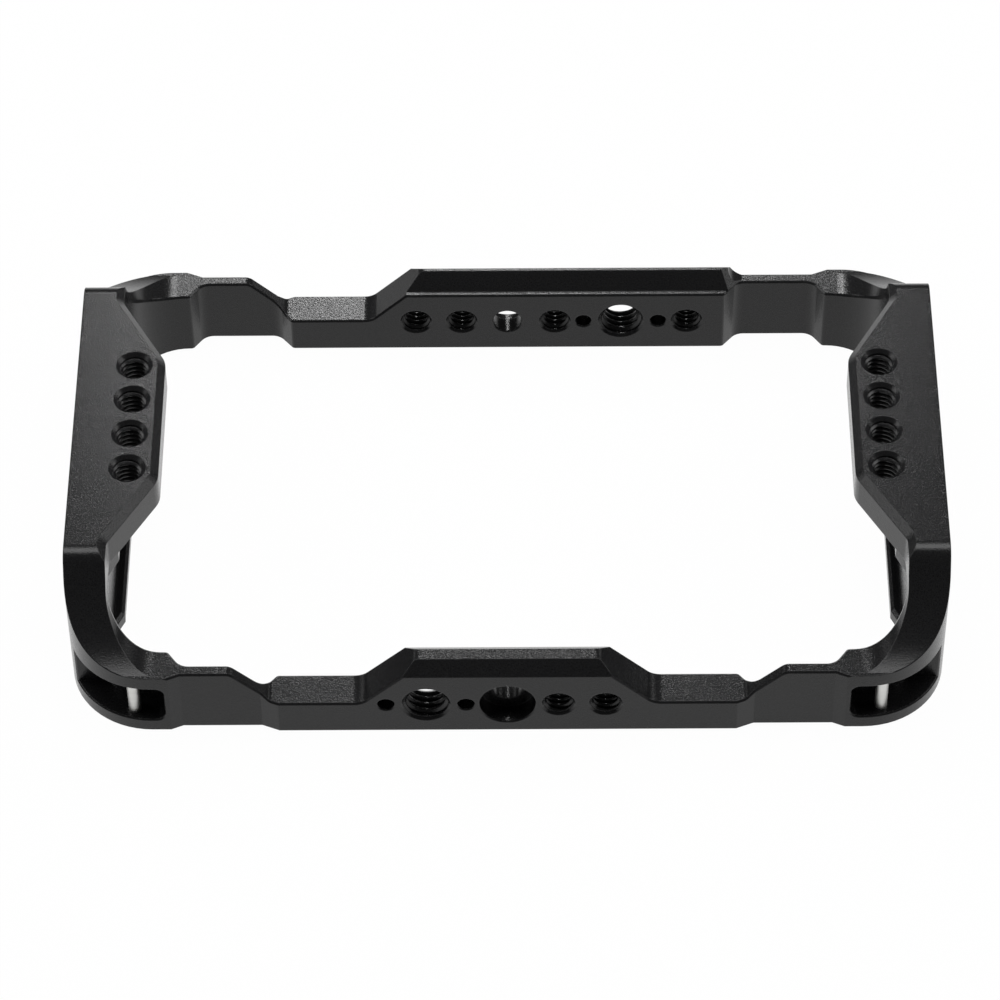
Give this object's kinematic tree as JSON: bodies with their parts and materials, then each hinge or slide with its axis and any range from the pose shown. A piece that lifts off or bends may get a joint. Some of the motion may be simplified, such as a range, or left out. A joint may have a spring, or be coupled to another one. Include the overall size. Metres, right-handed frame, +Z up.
{
  "type": "monitor cage",
  "caption": "Open rectangular aluminium cage that holds a small camera monitor and gives threaded holes and strap slots for accessories.",
  "frame": {"origin": "centre of the flat underside, on the ground under the cage lying as in use on a table", "axes": "+X along the cage's length to the right, +Y from the near bar to the far bar, +Z up out of the underside through the side plates"},
  "size_m": [0.1874, 0.1196, 0.0345],
  "materials": {
    "frame": "bead-blasted and black anodised",
    "strap_pins": "plain ground steel"
  },
  "bodies": {
    "root": {"frame": "frame", "strap_pin_near_left": "strap_pins", "strap_pin_near_right": "strap_pins", "strap_pin_far_left": "strap_pins", "strap_pin_far_right": "strap_pins"}
  },
  "joints": []
}
